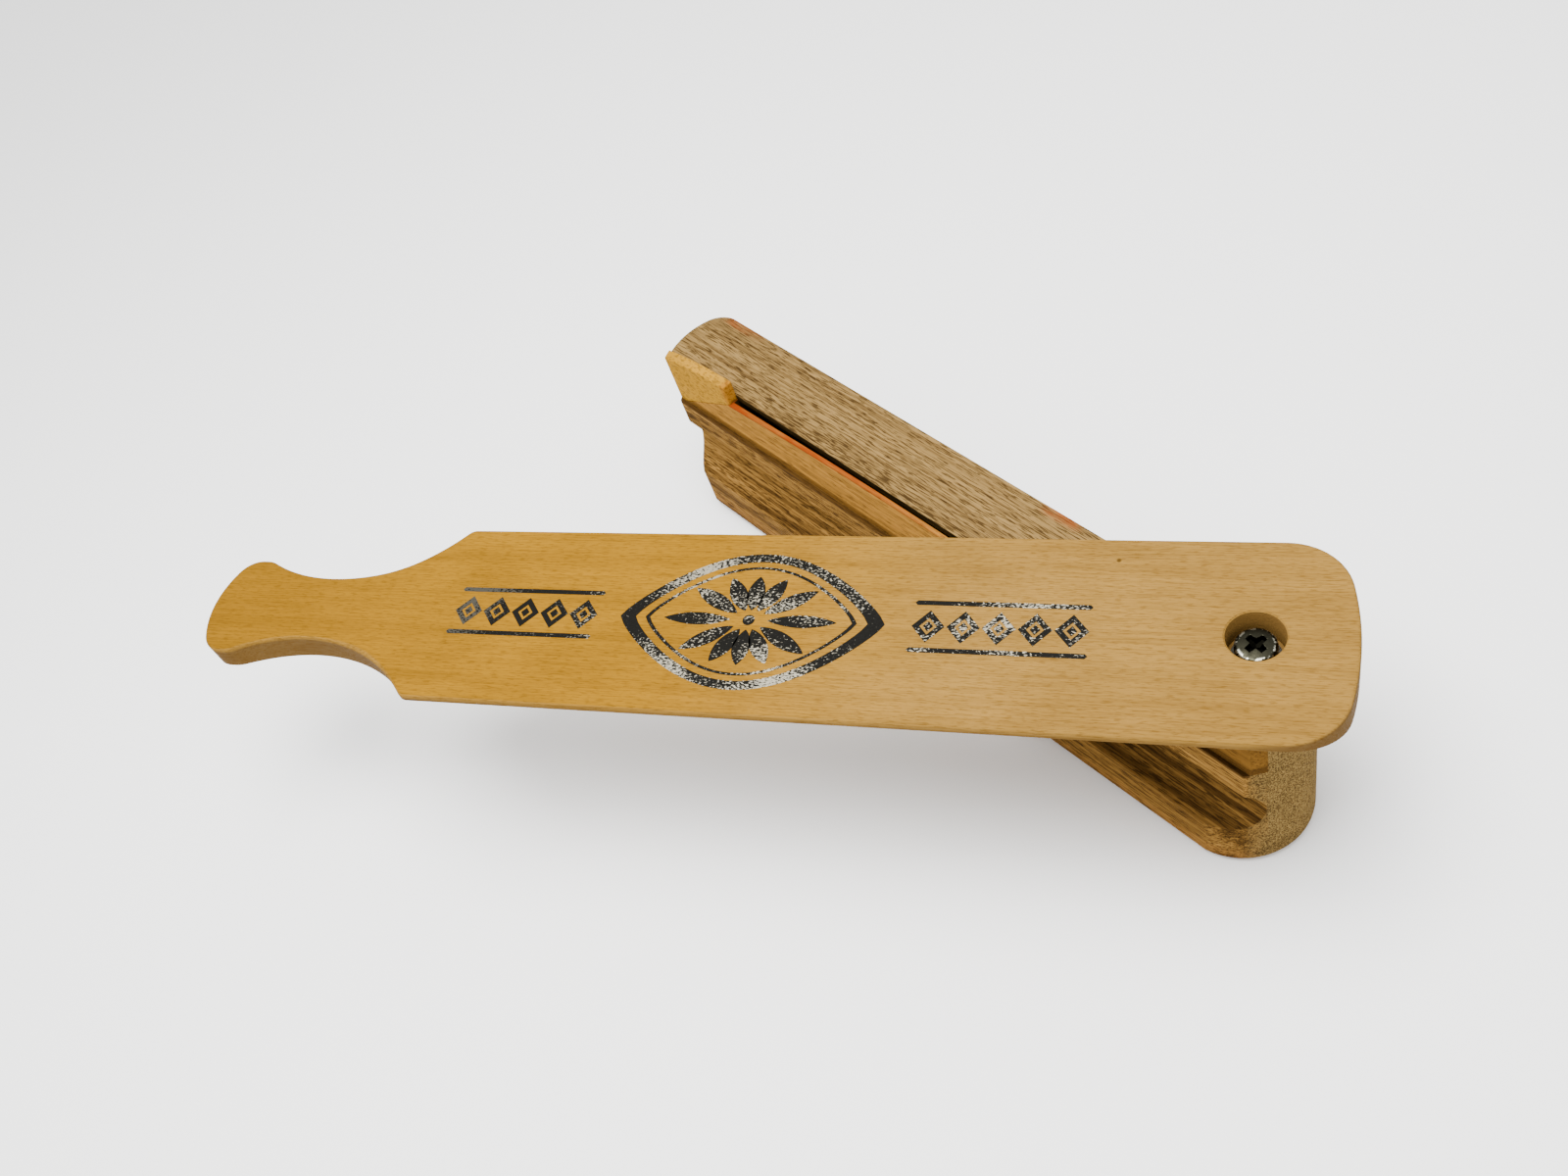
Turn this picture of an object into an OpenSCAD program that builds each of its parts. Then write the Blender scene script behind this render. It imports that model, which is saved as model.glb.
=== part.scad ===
// Single-sided box call for calling wild turkeys. A hollow hardwood block
// carries a thin arched sound board along one long side. A broad lid with a
// flared handle turns on a sprung screw and is drawn across the board's lip.
//
// X runs along the block from the pivot to its free end, Y towards the side
// with the sound board, Z up. The origin is the pivot axis on the base.

/* [Block] */
// Length of the block from its round pivot end to its free end
block_l = 210.9; // [190:0.1:230]
// Distance of the screw from the pivot end
pivot_in = 14.4; // [13:0.1:18]
// Height of the flat rail on top over the base
block_h = 54.5; // [52:0.5:62]
// Middle line of the block, measured from the screw towards the sound board
block_side = 3.8; // [3:0.1:4.5]
// Width across the rail and the sound board
top_w = 23.4; // [22:0.1:25]
// How far the block stands out under the sound board
ledge = 1; // [0.5:0.1:1.5]
// Width of the foot
foot_w = 34; // [31:0.1:38]
// How much the pivot end's radius is over half the foot's width
pivot_end_over = 0.3; // [0.2:0.1:2]
// Radius of the free end as seen from above
free_end_r = 20; // [18:0.5:30]
// Rounding of the far upright edge at the free end
far_corner_r = 8; // [5:0.5:9]
// Radius of the finger coves along both sides
cove_r = 8.4; // [7:0.1:10]
// Height of the middle of the coves over the base
cove_z = 24; // [22:0.5:26]
// Wood left between the two coves
cove_web = 17.8; // [17.4:0.1:20]
// Rounding of the lower edges
foot_r = 3; // [1.5:0.5:4]

/* [Sound chamber] */
// Length of the chamber and of the slot over it
chamber_l = 110; // [90:1:120]
// Height of the chamber
chamber_h = 35; // [28:0.5:40]
// Width of the chamber at its floor
chamber_w = 7.6; // [6:0.1:8]
// Thickness of the rail over the chamber
rail_t = 2.4; // [2:0.1:3.5]

/* [Sound board] */
// Height of the sound board under the rail's level
board_h = 14.6; // [12:0.1:17]
// Thickness of the sound board
board_t = 3.2; // [2.8:0.1:3.8]
// Thickness of the lip that sounds
lip_t = 1.2; // [0.8:0.1:1.6]
// Height over which the lip thins out on its inner side
lip_taper_h = 8; // [5:0.5:11]
// Height of the crest of the lip over the rail
lip_crest = 1.3; // [0.8:0.1:1.5]
// Radius of the arch of the lip
lip_arch_r = 900; // [700:10:1400]
// Crest of the lip, measured from the screw
lip_crest_x = 94; // [85:1:105]

/* [Stop block] */
// Inner end of the stop block, measured from the screw
stop_x = 164; // [155:1:170]
// Height of the stop block over the rail
stop_rise = 5.4; // [4:0.1:7]
// Radius of its falling top
stop_top_r = 140; // [110:5:200]
// Length of its slanted seat on the sound board
stop_seat_l = 26; // [20:1:28]

/* [Lid] */
// Angle that the lid stands out from the block
lid_angle = 35; // [25:1:60]
// Width of the lid
lid_w = 51.8; // [46:0.1:56]
// Thickness of the lid along its middle
lid_t = 10; // [9.6:0.1:11]
// Thickness of the lid at its long edges
lid_edge_t = 2.6; // [1.5:0.1:3]
// Length of the lid in front of the screw, up to its shoulders
lid_front = 197; // [180:1:205]
// Length of the lid behind the screw
lid_back = 20.7; // [18:0.1:24]
// Middle line of the lid, measured from the screw away from the block
lid_side = 0.6; // [0:0.1:1]
// Radius of the corners at the pivot end
lid_corner_r = 14; // [10:0.5:18]
// Radius of the slight crown of the pivot end
lid_crown_r = 75; // [60:5:120]
// Gap between the rail and the middle of the lid
lid_gap = 1.8; // [1.7:0.1:2.4]

/* [Handle] */
// Length of the handle from the shoulders to its tip
handle_l = 69; // [60:0.1:76]
// Middle line of the handle, measured from the lid's, away from the block
handle_side = 0.5; // [0:0.1:1]
// Width of the handle's waist
handle_waist = 19; // [16:0.1:22]
// Radius of the hollow sides of the handle
handle_side_r = 47; // [44:1:52]
// Middle of the waist, measured from the shoulders
handle_waist_x = 36; // [34:0.5:40]
// Width of the flared tip
handle_tip_w = 29.4; // [27:0.1:32]
// Radius of the round tip
handle_tip_r = 24; // [20:0.5:28]
// Radius of the corners of the tip
handle_corner_r = 7; // [4:0.5:9]

/* [Pivot] */
// Diameter of the counterbore in the lid
counterbore_d = 12.6; // [12:0.1:14]
// Depth of the top of the screw's head under the lid's top
head_sink = 2.8; // [2.4:0.1:3]
// Diameter of the screw's head
head_d = 9.1; // [8.6:0.1:9.6]
// Height of the screw's head
head_h = 2.4; // [2:0.1:2.5]
// Diameter of the screw's shank
shank_d = 4.6; // [4:0.1:4.8]
// Length of the screw in the block
screw_grip = 22; // [16:0.5:26]
// Diameter of the hole through the lid
lid_hole_d = 6.6; // [6.4:0.1:7]
// Wood left under the counterbore
counterbore_web = 1.5; // [1.2:0.1:1.6]
// Diameter of the washer between the block and the lid
spacer_d = 11; // [10:0.1:12]
// Depth of the seat of that washer in the lid
spacer_seat = 0.4; // [0.3:0.05:0.5]
// Thickness of the spring's flat washer
seat_washer_t = 0.4; // [0.3:0.05:0.5]
// Diameter of the spring's flat washer
seat_washer_d = 11; // [10:0.1:11.5]
// Outer diameter of the spring
spring_d = 8.4; // [8:0.1:8.6]
// Thickness of the spring's wire
wire_d = 0.5; // [0.4:0.05:0.5]

/* [Hidden] */
$fn = 96;

// One overrun for every cut
cut = 1;
// Play of a running fit, measured on the radius
play = 0.05;
// Play of the wood round the spacer washer
seat_play = 0.3;
// How far a rounding stands over the faces that it joins, so that they cross
corner_over = 0.05;

// Block
free_x = block_l - pivot_in;
pivot_end_r = foot_w / 2 + pivot_end_over;
pivot_end_x = pivot_end_r - pivot_in;
free_end_x = free_x - free_end_r;
tall = block_h + stop_rise + cut;
// Middle of the far corner's rounding
far_corner_y = block_side - top_w / 2 + far_corner_r - corner_over;
far_corner_reach = free_end_r - far_corner_r + corner_over;
far_corner_x = free_end_x + sqrt(far_corner_reach * far_corner_reach
             - (block_side - far_corner_y) * (block_side - far_corner_y));
// Inner face of the sound board
board_y = block_side + top_w / 2 - board_t;
board_z = block_h - board_h;

// Sound chamber
chamber_x = stop_x - chamber_l;
chamber_z = block_h - rail_t - chamber_h;
// Wood between the chamber and the sound side, under the sound board
chamber_wall = 2;
chamber_y = board_y - chamber_wall - chamber_w;

// Lip and stop block
stop_drop = stop_x - lip_crest_x;
// Level of the lip where the stop block begins
stop_z = block_h + lip_crest - lip_arch_r
         + sqrt(lip_arch_r * lip_arch_r - stop_drop * stop_drop);
// Crest of the stop block's falling top, behind its inner end
stop_crest_back = 3;

// Lid and pivot
lid_z = block_h + lid_gap;
lid_top = lid_z + lid_t;
lid_sag = lid_t - lid_edge_t;
lid_arch_r = (lid_w * lid_w / 4 + lid_sag * lid_sag) / (2 * lid_sag);
lid_end_x = lid_front + handle_l;
waist_x = lid_front + handle_waist_x;
spacer_t = lid_gap + spacer_seat;
counterbore_z = lid_z + spacer_seat + counterbore_web;
head_z = lid_top - head_sink - head_h;
// Length of the screw's point
point_l = 5;
// Flat end of the screw's point
point_d = 1;
// Radius of the head's dome
dome_r = 8;
// Cross recess: span, width and depth of its arms
recess_span = 4.8;
recess_w = 0.95;
recess_depth = 1.4;

// Spring: turns, rings a turn and sides of the wire
spring_turns = 2;
spring_rings = 8;
spring_sides = 6;
// Play at each end of the spring
spring_play = 0.05;
spring_z = counterbore_z + seat_washer_t + spring_play + wire_d / 2;
spring_rise = head_z - spring_play - wire_d / 2 - spring_z;
spring_r = (spring_d - wire_d) / 2;

// A point of the wire's middle line, t in turns
function spring_at(t) =
    [spring_r * cos(360 * t), spring_r * sin(360 * t), spring_z + spring_rise * t / spring_turns];

// A ring round the wire at t turns, its sides square to the wire
function spring_ring(t) =
    let (slope = atan(spring_rise / spring_turns / (2 * PI * spring_r)))
    [for (k = [0 : spring_sides - 1])
        let (a = 360 * k / spring_sides, u = wire_d / 2 * cos(a), v = wire_d / 2 * sin(a))
        spring_at(t) + [u * cos(360 * t) + v * sin(slope) * sin(360 * t),
                        u * sin(360 * t) - v * sin(slope) * cos(360 * t),
                        v * cos(slope)]];

// Least gap between neighbouring turns
echo(spring_gap = spring_rise / spring_turns - wire_d);

// A solid of revolution with a rounded lower edge
module round_end(r) {
    rotate_extrude() {
        square([r - foot_r, tall]);
        translate([0, foot_r])
            square([r, tall - foot_r]);
        translate([r - foot_r, foot_r])
            intersection() {
                circle(foot_r);
                translate([0, -foot_r])
                    square(2 * foot_r);
            }
    }
}

// Everything inside the block's outline as seen from above
module footprint() {
    translate([pivot_end_x, block_side, 0])
        round_end(pivot_end_r);
    translate([free_end_x, block_side, 0])
        round_end(free_end_r);
    translate([pivot_end_x, block_side - free_end_r - cut, 0])
        cube([free_end_x - pivot_end_x, 2 * (free_end_r + cut), tall]);
}

// Cross-section of the block, seen along its length
module block_section() {
    difference() {
        union() {
            translate([-top_w / 2, cove_z])
                square([top_w, block_h - cove_z]);
            translate([-top_w / 2, cove_z])
                square([top_w + ledge, board_z - cove_z]);
            translate([-foot_w / 2, foot_r])
                square([foot_w, cove_z - foot_r]);
            translate([foot_r - foot_w / 2, 0])
                square([foot_w - 2 * foot_r, foot_r]);
            for (side = [-1, 1])
                translate([side * (foot_w / 2 - foot_r), foot_r])
                    circle(foot_r);
        }
        for (side = [-1, 1])
            translate([side * (cove_web / 2 + cove_r), cove_z])
                circle(cove_r);
    }
}

// What the rounding takes off the far upright edge at the free end
module far_corner() {
    reach = 2 * far_corner_r;
    translate([far_corner_x, far_corner_y, cove_z])
        linear_extrude(tall)
            difference() {
                polygon([
                    [0, 0],
                    [0, -reach],
                    [reach, -reach],
                    [reach, -reach * (block_side - far_corner_y) / (far_corner_x - free_end_x)]
                ]);
                circle(far_corner_r);
            }
}

// The hardwood block with its rail, its coves and its chamber
module body() {
    color("#8a6f4d")
        difference() {
            intersection() {
                footprint();
                translate([-pivot_in, block_side, 0])
                    rotate([90, 0, 90])
                        linear_extrude(block_l)
                            block_section();
            }
            far_corner();
            // rebate for the sound board and the stop block
            translate([-pivot_in - cut, board_y, board_z])
                cube([block_l + 2 * cut, board_t + cut, board_h + cut]);
            // chamber, open to the sound board under the rail
            translate([chamber_x, chamber_y, chamber_z])
                cube([chamber_l, chamber_w, chamber_h]);
            translate([chamber_x, chamber_y, board_z])
                cube([chamber_l, board_y - chamber_y + cut, board_h - rail_t]);
            translate([0, 0, block_h - screw_grip - cut])
                cylinder(d = shank_d + 2 * play, h = screw_grip + 2 * cut);
        }
}

// Side view of the sound board, with its arched lip and its slanted seat
module board_outline() {
    difference() {
        union() {
            translate([-pivot_in - cut, board_z])
                square([lip_crest_x + pivot_in + cut, board_h]);
            intersection() {
                translate([lip_crest_x, block_h + lip_crest - lip_arch_r])
                    circle(lip_arch_r, $fn = 720);
                translate([-pivot_in - cut, board_z])
                    square([block_l + 2 * cut, board_h + 2 * lip_crest]);
            }
        }
        stop_region();
    }
}

// Everything over the slanted seat of the stop block, in side view
module stop_region() {
    polygon([
        [stop_x, stop_z],
        [stop_x + stop_seat_l, board_z],
        [free_x + cut, board_z],
        [free_x + cut, tall],
        [stop_x, tall]
    ]);
}

// A side view drawn as a board of the sound board's thickness
module as_board() {
    intersection() {
        footprint();
        translate([0, board_y + board_t, 0])
            rotate([90, 0, 0])
                linear_extrude(board_t)
                    children();
    }
}

// The sound board, thinned on its inner side to the lip
module sound_board() {
    color("#a87f43")
        difference() {
            as_board()
                board_outline();
            translate([chamber_x, board_y, block_h])
                rotate([90, 0, 90])
                    linear_extrude(chamber_l)
                        polygon([
                            [-cut, -lip_taper_h],
                            [0, -lip_taper_h],
                            [board_t - lip_t, 0],
                            [board_t - lip_t, lip_crest + cut],
                            [-cut, lip_crest + cut]
                        ]);
        }
}

// The pale block at the free end that stops the lid
module stop_block() {
    color("#d8b46a")
        as_board()
            intersection() {
                stop_region();
                translate([stop_x - stop_crest_back, block_h + stop_rise - stop_top_r])
                    circle(stop_top_r, $fn = 360);
            }
}

// Cross-head wood screw
module pivot_screw() {
    color("#6f7276")
        difference() {
            union() {
                translate([0, 0, head_z])
                    intersection() {
                        cylinder(d = head_d, h = head_h);
                        translate([0, 0, head_h - dome_r])
                            sphere(dome_r);
                    }
                translate([0, 0, block_h - screw_grip + point_l])
                    cylinder(d = shank_d, h = head_z - block_h + screw_grip - point_l);
                translate([0, 0, block_h - screw_grip])
                    cylinder(d1 = point_d, d2 = shank_d, h = point_l);
            }
            translate([0, 0, head_z + head_h - recess_depth])
                for (turn = [0, 90])
                    rotate([0, 0, turn + lid_angle])
                        translate([-recess_span / 2, -recess_w / 2, 0])
                            cube([recess_span, recess_w, recess_depth + cut]);
        }
}

// Washer that carries the lid over the rail
module spacer_washer() {
    color("#e8e2d2")
        translate([0, 0, block_h])
            difference() {
                cylinder(d = spacer_d, h = spacer_t);
                translate([0, 0, -cut])
                    cylinder(d = shank_d + 2 * play, h = spacer_t + 2 * cut);
            }
}

// Flat washer under the spring
module seat_washer() {
    color("#b9bbbd")
        translate([0, 0, counterbore_z])
            difference() {
                cylinder(d = seat_washer_d, h = seat_washer_t);
                translate([0, 0, -cut])
                    cylinder(d = lid_hole_d, h = seat_washer_t + 2 * cut);
            }
}

// Compression spring between the screw's head and the flat washer
module spring() {
    rings = spring_turns * spring_rings;
    points = [for (i = [0 : rings]) each spring_ring(i / spring_rings)];
    walls = [
        for (i = [0 : rings - 1], k = [0 : spring_sides - 1])
            let (a = i * spring_sides, b = a + spring_sides, n = (k + 1) % spring_sides)
            each [[a + k, b + k, b + n], [a + k, b + n, a + n]]
    ];
    last = rings * spring_sides;
    ends = [
        for (k = [1 : spring_sides - 2])
            each [[0, k, k + 1], [last, last + k + 1, last + k]]
    ];
    color("#c9ccd0")
        polyhedron(points, concat(walls, ends));
}

// A strip along +X whose end at the origin is crowned between round corners
module crowned(w, crown_r, corner_r, l) {
    corner_y = w / 2 - corner_r;
    reach = crown_r - corner_r + corner_over;
    to_corner = sqrt(reach * reach - corner_y * corner_y);
    spread = (crown_r + cut) * corner_y / to_corner;
    intersection() {
        translate([crown_r, 0])
            circle(crown_r, $fn = 360);
        polygon([[crown_r, 0], [-cut, spread], [-cut, -spread]]);
    }
    for (side = [-1, 1])
        translate([crown_r - to_corner, side * corner_y])
            circle(corner_r);
    translate([crown_r - to_corner, -w / 2])
        square([l - crown_r + to_corner, w]);
}

// The lid as seen from above, with its handle towards +X
module lid_outline() {
    difference() {
        union() {
            translate([-lid_back, 0])
                crowned(lid_w, lid_crown_r, lid_corner_r, lid_back + waist_x);
            translate([lid_end_x, handle_side])
                rotate(180)
                    crowned(handle_tip_w, handle_tip_r, handle_corner_r, handle_l);
        }
        for (side = [-1, 1])
            translate([waist_x, handle_side + side * (handle_waist / 2 + handle_side_r)])
                circle(handle_side_r, $fn = 180);
    }
}

// The lid with its arched sounding face and its counterbored pivot hole
module lid() {
    color("#c99a55")
        rotate([0, 0, lid_angle])
            difference() {
                translate([0, lid_side, 0])
                    intersection() {
                        translate([0, 0, lid_z])
                            linear_extrude(lid_t)
                                lid_outline();
                        translate([-lid_back - cut, 0, lid_z + lid_arch_r])
                            rotate([0, 90, 0])
                                cylinder(r = lid_arch_r, h = lid_back + lid_end_x + 2 * cut, $fn = 360);
                    }
                translate([0, 0, counterbore_z])
                    cylinder(d = counterbore_d, h = lid_top - counterbore_z + cut);
                translate([0, 0, lid_z - cut])
                    cylinder(d = lid_hole_d, h = lid_t + 2 * cut);
                translate([0, 0, lid_z - cut])
                    cylinder(d = spacer_d + 2 * seat_play, h = spacer_seat + cut);
            }
}

body();
sound_board();
stop_block();
pivot_screw();
spacer_washer();
spring();
seat_washer();
lid();
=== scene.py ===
"""A single-sided wooden box call, dressed for a product photograph."""

import math
from functools import cached_property

import bmesh
import bpy
import numpy as np
from mathutils import Matrix, Vector


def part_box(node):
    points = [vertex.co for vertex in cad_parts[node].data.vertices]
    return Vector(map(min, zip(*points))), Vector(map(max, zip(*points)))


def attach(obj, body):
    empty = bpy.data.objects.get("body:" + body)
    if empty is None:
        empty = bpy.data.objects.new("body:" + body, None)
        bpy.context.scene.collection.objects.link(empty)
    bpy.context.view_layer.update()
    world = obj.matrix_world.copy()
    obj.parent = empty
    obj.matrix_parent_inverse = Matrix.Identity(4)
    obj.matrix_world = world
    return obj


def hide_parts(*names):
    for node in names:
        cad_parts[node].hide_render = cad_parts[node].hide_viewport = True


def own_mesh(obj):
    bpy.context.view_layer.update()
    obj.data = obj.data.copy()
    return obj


bl_info = {
    "name": "Box call",
    "version": (1, 0, 0),
    "blender": (4, 5, 0),
    "location": "View3D > Sidebar > Box call",
    "description": "Wood, foil and metal finishes for a single-sided box call",
    "category": "Object",
}

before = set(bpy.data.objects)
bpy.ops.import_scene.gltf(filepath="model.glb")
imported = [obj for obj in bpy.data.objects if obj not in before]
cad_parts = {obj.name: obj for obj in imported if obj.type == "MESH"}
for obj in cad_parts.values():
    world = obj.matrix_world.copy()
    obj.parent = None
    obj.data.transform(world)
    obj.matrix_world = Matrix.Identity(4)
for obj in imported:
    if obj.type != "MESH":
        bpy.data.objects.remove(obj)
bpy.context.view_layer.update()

MM = 0.001
RAIL_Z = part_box("body")[1].z
LID_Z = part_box("lid")[0].z
LID_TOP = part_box("lid")[1].z
LID_ANGLE = math.radians(35)
CORNER = math.radians(35)
FLAT = math.radians(0.2)
DOUBLES = 0.002 * MM
CAD_DOUBLES = 0.001 * MM


# Counts of points and rows

CROWN_POINTS = 8
CORNER_POINTS = 14
STRAIGHT_POINTS = 60
HOLLOW_POINTS = 40
TIP_POINTS = 12
EASE_POINTS = 6
TOP_ROWS = 6
SOFT_ROWS = 7
UNDER_ROWS = 14
LEAVES = 12
LEAF_POINTS = 28
OVAL_POINTS = 96
EYE_POINTS = 24
DIAMONDS = 5
DIAMOND_SIDE_POINTS = 4
COIL_ROWS = 97
WIRE_POINTS = 12
HEAD_ROWS = 34
RIM_ROWS = 9
HEAD_POINTS = 160
BEVEL_SEGMENTS = 3


# Places of the finishes


def places(*millimetres):
    """Places and distances given in millimetres and kept in metres."""
    return tuple(value * MM for value in millimetres)


def plus(measure, *millimetres):
    """Places given in millimetres from a measure of the object and kept in metres."""
    return tuple(measure + value * MM for value in millimetres)


# The knot is a point. Each other pair holds both ends of a change of shade. Each row of four holds a zone's
# start, both ends of its full part, and its end.

KNOT = places(29.8, -19.1)
KNOT_REACH = places(0.25, 0.75)
# Painted highlight on the lid's rounded upper edge
LID_EDGE_HIGHLIGHT_Z = plus(LID_TOP, -0.05, -0.35)
# Painted shade on the lid's sides, made stronger beside the handle by GRIP_X
LID_SIDE_SHADE_Z = plus(LID_TOP, -0.9, -1.8)
LID_GOLDEN_X = places(80, 160)
LID_DARK_X = places(190, 250)
GRIP_X = places(180, 200)
# Painted shade on the lid's pivot end
BUTT_SHADE_X = places(2, -8)
BUTT_SHADE_Z = plus(LID_TOP, -0.1, -0.5)
# Painted shade in the counterbore
BORE_SHADE_Z = plus(LID_TOP, -0.5, -0.2)
BORE_SHADE_EDGE = 0.3 * MM
FOIL_X = places(170, 145)

RAIL_TOP_Z = plus(RAIL_Z, -1.5, -0.3)
# Painted shade in the block's cove, strongest under the lid towards the pivot end
COVE_SHADE_X = places(160, 50)
COVE_SHADE_Y = places(4, 10)
COVE_SHADE_Z = places(14, 19, 29, 36)
FOOT_Z = places(15, 11)
# A dark line along the block just under the sound board's lower edge
BOARD_EDGE_LINE_Y = places(15.2, 15.6)
BOARD_EDGE_LINE_Z = places(38.5, 39.4, 40.2, 41)
# Painted shade on the sound chamber's walls, the slot over them and the lip's face inside it
CHAMBER_X = places(53.5, 53.9, 164.1, 164.4)
CHAMBER_Y = places(2.2, 2.6, 12.4, 12.7)
CHAMBER_FLOOR_Z = places(16.5, 17)
PLATE_TOP_Z = plus(RAIL_Z, -0.05, -0.4)
PLATE_FOOT_Z = plus(RAIL_Z, -2.1, -2.6)
RAIL_CHALK_Y = places(-4.6, -7.2)
RAIL_CHALK_Z = plus(RAIL_Z, -2, 0)
FREE_CHALK_X = places(172, 179, 188, 193)
PIVOT_CHALK_X = places(54, 58, 65, 69)

BOARD_FOOT_Z = places(39.8, 40.4, 41.8, 43.2)
# Painted shade on the sound board towards the pivot end, under the lid
BOARD_SHADE_X = places(50, 20)
LIP_CHALK_X = places(40, 140)
LIP_CHALK_END_X = places(165.5, 163.5)
LIP_CHALK_DEPTH = places(0.9, 0.4)
# Painted shade on the lip's face inside the slot
LIP_INNER_Y = places(14.6, 14.3)
LIP_INNER_DEPTH = places(0.1, 0.5)
LIP_STEP_X = places(0, 0.5)
STOP_CHALK_X = places(166.8, 164.2)

# Painted shade in the screw's cross recess
SCREW_RECESS_SHADE = places(3.2, 3)


# Settings


def length(name, description, millimetres):
    """A length, given in millimetres and kept in metres."""
    return bpy.props.FloatProperty(
        name=name, description=description, default=millimetres * MM, min=0, precision=5, unit="LENGTH"
    )


def colour(name, description, red, green, blue):
    """A colour given as it is displayed, from 0 to 255, and kept as linear light."""
    values = np.array((red, green, blue)) / 255
    light = np.where(values < 0.04045, values / 12.92, ((values + 0.055) / 1.055) ** 2.4)
    return bpy.props.FloatVectorProperty(
        name=name, description=description, default=light.tolist(), size=3, min=0, max=1, subtype="COLOR"
    )


def number(name, description, value):
    """A plain number, nought or more."""
    return bpy.props.FloatProperty(name=name, description=description, default=value, min=0)


def vector(name, description, x, y, z):
    """A place in metres, or a direction."""
    return bpy.props.FloatVectorProperty(name=name, description=description, default=(x, y, z))


class LidSettings(bpy.types.PropertyGroup):
    """Sizes and colours of the lid."""

    width: length("Width", "Width of the lid", 51.8)
    edge: length("Edge", "Thickness of the lid at its long edges", 2.6)
    back: length("Back", "Length of the lid behind the screw", 20.7)
    side: length("Side", "Middle line of the lid, measured from the screw", 0.6)
    corner: length("Corner", "Radius of the corners at the pivot end", 14)
    crown: length("Crown", "Radius of the crowned pivot end", 75)
    waist_x: length("Waist's place", "Middle of the handle's waist, measured from the screw", 233)
    waist: length("Waist", "Width of the handle's waist", 19)
    hollow: length("Hollow", "Radius of the handle's hollow sides", 47)
    shoulder_ease: length("Shoulder's easing", "Straight length eased into the handle's hollow", 1.5)
    handle_side: length("Handle's side", "Middle line of the handle, measured from the lid's", 0.5)
    tip_x: length("Tip", "Tip of the handle, measured from the screw", 266)
    tip_width: length("Tip's width", "Width of the flared tip", 29.4)
    tip: length("Tip's radius", "Radius of the round tip", 24)
    tip_corner: length("Tip's corners", "Radius of the corners of the tip", 7)
    softness: length("Softness", "Rounding of the upper edge", 0.8)
    grip_softness: length("Grip's softness", "Extra rounding of the upper edge beside the waist", 0.9)
    grip_place: length("Grip's place", "From the middle of the extra rounding to the waist", 20)
    grip_reach: length("Grip's reach", "Length that the extra rounding fades over", 11)
    flat_gap: length("Flat's gap", "From the flat top's last ring to the rounding", 0.2)
    chamfer: length("Chamfer", "Chamfer of the lower edge and of the counterbore", 0.35)
    counterbore: length("Counterbore", "Radius of the counterbore", 6.3)
    ring_gap: length("Ring's gap", "From the counterbore to the start of the middle line", 3)
    spine_gap: length("Middle line's gap", "From the end of the middle line to the tip", 10)
    counterbore_floor: length("Counterbore's floor", "Height of its floor over the lid's lowest line", 1.9)
    hole: length("Hole", "Radius of the hole for the screw", 3.3)
    seat: length("Seat", "Radius of the washer's seat", 5.6)
    seat_depth: length("Seat's depth", "Depth of the washer's seat", 0.4)
    pale: colour("Pale wood", "Colour of the lid at the pivot end", 132, 100, 46)
    golden: colour("Golden wood", "Colour of the lid at the handle", 132, 93, 17)
    dark: colour("Grain", "Colour of the darker grain", 78, 50, 10)
    # Painted shade: this colour is laid on the lid's sides and its pivot end
    flank: colour("Flank", "Colour of the lid's sides", 94, 72, 40)
    # Painted shade: this colour is laid inside the counterbore
    bore: colour("Bore", "Colour of the counterbore's wall", 121, 91, 46)


class BlockSettings(bpy.types.PropertyGroup):
    """Sizes and colours of the block."""

    softness: length("Softness", "Rounding of the block's edges", 0.35)
    board_softness: length("Board's softness", "Rounding of the sound board's edges", 0.2)
    crest: length("Crest", "Crest of the lip, measured from the screw", 94)
    lip_rise: length("Lip's rise", "How far the lip's crest stands over the rail", 1.3)
    lip_arch: length("Lip's arch", "Radius of the lip's arch", 900)
    stop_softness: length("Stop's softness", "Rounding of the stop block's edges", 0.8)
    rail: colour("Rail", "Colour of the rail on top", 123, 98, 57)
    flank: colour("Flank", "Colour of the block's sides", 140, 103, 50)
    dark: colour("Grain", "Colour of the dark stripes", 50, 32, 12)
    pore: colour("Pores", "Colour of the open pores", 34, 21, 8)
    red: colour("Lower edge", "Colour of the strip along the lower edge", 112, 68, 32)
    grain_end: colour("End grain", "Colour of the block's ends", 128, 105, 61)
    board: colour("Sound board", "Colour of the sound board", 153, 108, 44)
    stop: colour("Stop block", "Colour of the stop block", 158, 115, 32)
    chalk: colour("Chalk", "Colour of the chalk on the lip", 115, 45, 7)
    # Painted shade on the chamber's walls and inside the slot
    chamber_shade: colour("Chamber", "Colour of the unlit chamber's walls", 32, 24, 9)


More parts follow.
